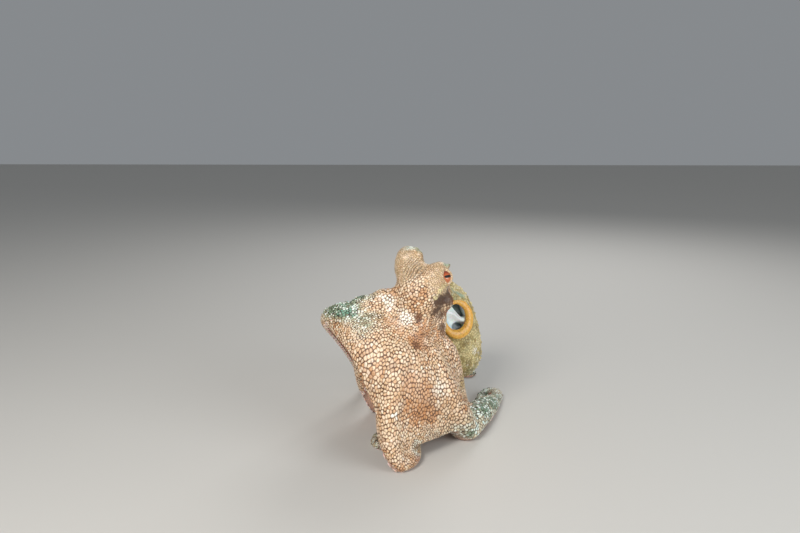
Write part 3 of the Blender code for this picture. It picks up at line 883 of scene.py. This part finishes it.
def buildBall(name):
    centre, across, above, gaze = eyeFrame(name)
    turn = Matrix((across, above, gaze)).transposed().to_4x4()
    shape = bmesh.new()
    bmesh.ops.create_uvsphere(shape, u_segments=irisForm["sides"], v_segments=irisForm["rings"],
                              radius=eyeForm["ball"], matrix=Matrix.Translation(centre) @ turn)
    ball = newMesh(name + "Ball", shape)
    offset = (vertexPlaces(ball) - row(centre)) / eyeForm["ball"]
    x, y, z = offset @ np.array(across), offset @ np.array(above), offset @ np.array(gaze)
    angle = np.arctan2(y, x)
    polar = np.degrees(np.arccos(np.clip(z, -1, 1)))
    streaks = 0.5 + 0.5 * np.sin(angle * 23 + 3 * np.sin(angle * 5)) * np.sin(angle * 41 + polar * 0.2)
    iris = np.tile(row(linear(irisForm["orange"])), (len(offset), 1))
    # The pale ring at the iris's edge is a painted glint.
    for colour, weight in (("dark", 0.6 * streaks * ramp(polar, 12, 34)),
                           ("gold", 0.45 * (1 - streaks) * (1 - ramp(y, -0.2, 0.4))),
                           ("dark", 0.75 * ramp(y, 0.15, 0.6)), ("pale", ramp(polar, 52, 60))):
        iris = blend(iris, row(linear(irisForm[colour])), weight)
    storeColour(ball, "irisColour", iris)
    return ball


def buildPupil(name):
    centre, across, above, gaze = eyeFrame(name)
    shape = bmesh.new()
    bmesh.ops.create_grid(shape, x_segments=32, y_segments=12, size=1)
    for vert in shape.verts:
        u, v = vert.co.x, vert.co.y
        level, rise = math.sqrt(max(0.0, 1 - 0.5 * v * v)) * u, math.sqrt(max(0.0, 1 - 0.5 * u * u)) * v
        wide, tall = level * irisForm["slitWide"], rise * irisForm["slitTall"] * (1 + 0.35 * abs(level))
        out = Vector((wide, tall, eyeForm["ball"])).normalized() * (eyeForm["ball"] + irisForm["slitLift"])
        vert.co = centre + across * out.x + above * out.y + gaze * out.z
    return newMesh(name + "Pupil", shape)


irisMade = irisMaterial()
slitMade = plainMaterial("pupil", (0.012, 0.010, 0.010), 0.7)
for name in eyes:
    finishPiece(buildBall(name), irisMade, "eye", name)
    finishPiece(buildPupil(name), slitMade, "eye")
print("eyes")

# The lip of the mantle's mouth, thickest below and on the outer side.
lipForm = dict(around=160, sides=24, thick=0.0034, fuller=0.46, ruffle=0.00010, outward=1.15, forward=0.70)


def addTube(shape, around, sides, section):
    rings = []
    for k in range(around):
        middle, out, forward = section(2 * math.pi * k / around)
        angles = [2 * math.pi * j / sides for j in range(sides)]
        spots = [middle + out * math.cos(angle) + forward * math.sin(angle) for angle in angles]
        rings.append([shape.verts.new(spot) for spot in spots])
    joinRings(shape, rings)


def buildLip():
    centre, across, upright, facing = mouthFrame()

    def section(turn):
        out, rim = rimDirections(turn, across, upright)
        full = 1.0 + lipForm["fuller"] * math.cos(turn + 0.9)
        full += 0.05 * math.sin(3 * turn) + 0.03 * math.sin(7 * turn + 1)
        radius = lipForm["thick"] * full + lipForm["ruffle"] * math.sin(19 * turn + 2 * math.sin(5 * turn))
        return centre + rim, out * radius * lipForm["outward"], facing * radius * lipForm["forward"]

    shape = bmesh.new()
    addTube(shape, lipForm["around"], lipForm["sides"], section)
    made = plainMaterial("lip", (0.97, 0.75, 0.33), 0.36, coat=0.25, subsurface=0.2,
                         speckle=(0.86, 0.61, 0.22))
    finishPiece(newMesh("mantleLip", shape), made, "lip", "mantle_lip")


# Inside of the mantle: a pale dish behind the lip with a soft fold across it, a wedge above the fold
# and a round hollow below it, both pressed in and painted dark as painted shade; away from the fold the dish
# is painted darker too, as painted shade. Lengths in mm from the middle of the mouth, to the right and up.
liningForm = dict(
    half=(17.0, 18.4), deep=4.5, rings=56, sides=120,
    wedge=[(-1.8, 13.8), (7.4, 17.6), (13.0, 1.1), (8.7, 0.0)], wedgeDeep=4.5,
    hollow=((3.8, -9.8), (8.4, 5.2)), hollowDeep=4.0, fold=((-13, 8), (14, -4.0)), foldWide=4.0, foldTall=3.4,
    pale=(0.96, 1.0, 1.0), shaded=(0.80, 0.91, 0.96), wedgeShade=(0.17, 0.25, 0.23),
    hollowShade=(0.22, 0.30, 0.31),
)


def asideOf(x, y, start, end):
    (ax, ay), (bx, by) = start, end
    return ((y - ay) * (bx - ax) - (x - ax) * (by - ay)) / math.hypot(bx - ax, by - ay)


def asideOfFold(x, y):
    return asideOf(x, y, *liningForm["fold"]) + 1.5 * np.sin(x * 0.25)


def insideWedge(x, y, soft):
    corners = liningForm["wedge"]
    weight = np.ones_like(x)
    for start, end in zip(corners, corners[1:] + corners[:1]):
        weight *= ramp(-asideOf(x, y, start, end), -soft, soft)
    return weight


def insideHollow(x, y, start, end):
    (left, high), (wide, tall) = liningForm["hollow"]
    return 1 - ramp(np.hypot((x - left) / wide, (y - high) / tall), start, end)


def liningMesh():
    centre, across, upright, facing = mouthFrame()
    sides = liningForm["sides"]
    reach = np.repeat(np.linspace(0, 1, liningForm["rings"]), sides)
    turn = np.tile(np.arange(sides) * 2 * math.pi / sides, liningForm["rings"])
    x, y = reach * np.cos(turn) * liningForm["half"][0], reach * np.sin(turn) * liningForm["half"][1]
    fold = np.exp(-(asideOfFold(x, y) / liningForm["foldWide"]) ** 2)
    depth = -liningForm["deep"] * (1 - reach ** 5) + liningForm["foldTall"] * fold * (1 - reach ** 3)
    wedge, hollow = insideWedge(x, y, 1.2), insideHollow(x, y, 0.75, 1.15)
    depth -= liningForm["wedgeDeep"] * wedge + liningForm["hollowDeep"] * hollow
    spots = np.outer(x, across) + np.outer(y, upright) + np.outer(depth, facing)
    shape = bmesh.new()
    verts = [shape.verts.new(Vector(spot) * 0.001 + centre) for spot in spots]
    for lower in range(0, len(verts) - sides, sides):
        for k in range(sides):
            after = (k + 1) % sides
            corners = (lower + k, lower + sides + k, lower + sides + after, lower + after)
            shape.faces.new([verts[corner] for corner in corners])
    bmesh.ops.remove_doubles(shape, verts=verts[:sides], dist=0.00001)
    return newMesh("mantleLining", shape)


def liningColours(lining):
    centre, across, upright, _ = mouthFrame()
    flat = (vertexPlaces(lining) - row(centre)) * 1000
    x, y = flat @ row(across), flat @ row(upright)
    edge = np.hypot(x / liningForm["half"][0], y / liningForm["half"][1])
    # Away from the fold and toward the rim the dish is painted darker, and the wedge and hollow dark: painted
    # shade.
    shaded = 0.75 * ramp(np.abs(asideOfFold(x, y)), 3.0, 8.0) * ramp(edge, 0.2, 0.9)
    colours = np.tile(row(linear(liningForm["pale"])), (len(flat), 1))
    for colour, weight in (("shaded", shaded), ("wedgeShade", insideWedge(x, y, 0.9)),
                           ("hollowShade", insideHollow(x, y, 0.55, 1.10))):
        colours = blend(colours, row(linear(liningForm[colour])), weight)
    return colours


def liningMaterial():
    made, tree, shader = nodesOf("lining", {
        "Roughness": 0.34, "Coat Weight": 0.4, "Coat Roughness": 0.1, "Subsurface Weight": 0.25,
        "Subsurface Scale": 0.002})
    # Random mottling of the lining's colour.
    mottle = mapped(tree, noiseOf(tree, 420, 3), 0.3, 0.7, 0.90, 1.06)
    colour = mixed(tree, attribute(tree, "liningColour").outputs["Color"], mottle, 1.0, "MULTIPLY")
    tree.links.new(colour, shader.inputs["Base Color"])
    return made


def buildLining():
    lining = liningMesh()
    storeColour(lining, "liningColour", liningColours(lining))
    finishPiece(lining, liningMaterial(), "pale_inside", "siphon_wall")


buildLip()
buildLining()
print("mantle mouth")

# Mouth beneath: a ruffled pink lip round a small dark beak, in the middle between the arms.
beakForm = dict(around=72, sides=14, ring=0.0062, tube=0.0024, search=0.007, least=0.035,
                beak=(0.0030, 0.0044))


def mouthCentre():
    middleLine = row(crown + shift)
    near = np.hypot(places[:, 0] - middleLine[0], places[:, 1] - middleLine[1]) < beakForm["search"]
    under = places[near & (normals[:, 2] < -0.3) & (places[:, 2] > beakForm["least"])]
    return Vector((*middleLine[:2], float(np.median(under[:, 2]))))


def buildMouth():
    centre = mouthCentre()

    def section(turn):
        out = Vector((math.cos(turn), math.sin(turn), 0))
        radius = beakForm["tube"] * (1 + 0.14 * math.sin(12 * turn + math.sin(3 * turn)))
        return centre + out * beakForm["ring"], out * radius, up * radius

    shape = bmesh.new()
    addTube(shape, beakForm["around"], beakForm["sides"], section)
    bmesh.ops.recalc_face_normals(shape, faces=shape.faces)
    made = plainMaterial("mouthLip", (0.86, 0.66, 0.60), 0.35, coat=0.3, subsurface=0.2)
    finishPiece(newMesh("mouthLip", shape), made, "skin")
    shape = bmesh.new()
    wide, tall = beakForm["beak"]
    for hand in (-1, 1):
        place = centre + Vector((0, hand * wide * 0.35, -0.0002))
        lean = Matrix.Translation(place) @ Matrix.Rotation(hand * 0.45, 4, "X")
        bmesh.ops.create_uvsphere(shape, u_segments=24, v_segments=16, radius=1,
                                  matrix=lean @ Matrix.Diagonal((wide * 0.85, wide * 0.6, tall, 1)))
    finishPiece(newMesh("beak", shape), plainMaterial("beak", (0.16, 0.09, 0.06), 0.25, coat=0.5), "skin")


buildMouth()
print("mouth")

# Suckers in two staggered rows along the sole of each arm.
suckerForm = dict(
    turnedAway=-0.75, share=0.27, sink=0.25, spacing=2.15, swing=46, first=8, last=0.97, least=0.0006, sides=14,
    profile=[(0.66, -0.55), (0.80, -0.15), (1.00, 0.02), (1.03, 0.20), (0.90, 0.36), (0.66, 0.26), (0.40, 0.04),
             (0.26, -0.06), (0.22, -0.40)],
)


def addSucker(shape, layer, place, axis, lean, size):
    other = axis.cross(lean).normalized()
    lean = other.cross(axis)
    rings = []
    for reach, height in suckerForm["profile"]:
        ring = []
        for k in range(suckerForm["sides"]):
            turn = 2 * math.pi * k / suckerForm["sides"]
            out = (lean * math.cos(turn) + other * math.sin(turn)) * reach + axis * height
            spot = place + out * size
            vert = shape.verts.new((spot.x, spot.y, max(spot.z, 0)))
            vert[layer] = min(1, max(0, (height + 0.4) / 0.7)) * (0.5 + 0.5 * min(1, reach))
            ring.append(vert)
        rings.append(ring)
    for lower, upper in zip(rings, rings[1:]):
        for k, vert in enumerate(lower):
            after = (k + 1) % len(lower)
            shape.faces.new((vert, lower[after], upper[after], upper[k]))
    shape.faces.new(rings[-1])


def buildSuckers(name, made):
    shape = bmesh.new()
    layer = shape.verts.layers.float.new("rise")
    rows = stations[name]
    swing = math.radians(arms[name].get("swing", suckerForm["swing"]))
    for hand, first in ((-1, 0), (1, 0.5)):
        run = first * 0.004
        for k in range(suckerForm["first"], round(len(rows) * suckerForm["last"])):
            centre, side, back, radius, ahead = rows[k]
            size = max(radius * suckerForm["share"], suckerForm["least"])
            run += armForm["step"]
            if run < size * suckerForm["spacing"]:
                continue
            run = 0
            axis = (side * hand * math.sin(swing) - back * math.cos(swing)).normalized()
            if k < len(rows) * arms[name].get("soleFrom", 0) and axis.z > suckerForm["turnedAway"]:
                continue
            aside, below = side * hand * radius, back * radius * armForm["sole"]
            spot = centre + aside * math.sin(swing) - below * math.cos(swing)
            addSucker(shape, layer, spot - axis * size * suckerForm["sink"] * 0.2, axis, ahead, size)
    bmesh.ops.recalc_face_normals(shape, faces=shape.faces)
    finishPiece(newMesh(name + "Suckers", shape), made, "skin")


def suckerMaterial():
    made, tree, shader = nodesOf("suckers", {
        "Roughness": 0.34, "Coat Weight": 0.2, "Subsurface Weight": 0.2, "Subsurface Scale": 0.002})
    # The rise is low at each sucker's base and down in its cup, where the colour is painted darker as painted
    # shade; the raised rim is pale.
    rise = mapped(tree, attribute(tree, "rise").outputs["Fac"], 0.1, 0.9, 0, 1)
    colour = mixed(tree, (*linear((0.66, 0.44, 0.40)), 1), (*linear((0.93, 0.83, 0.78)), 1), rise)
    colour = mixed(tree, colour, mapped(tree, noiseOf(tree, 500, 2), 0.3, 0.7, 0.85, 1.08), 1.0, "MULTIPLY")
    tree.links.new(colour, shader.inputs["Base Color"])
    return made


suckerMade = suckerMaterial()
for name in stations:
    buildSuckers(name, suckerMade)
print("suckers")

skin.data.shade_smooth()
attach(skin, "root")
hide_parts(*[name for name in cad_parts
                    if name.startswith(("arm_", "web_")) or name in ("head", "mantle")])
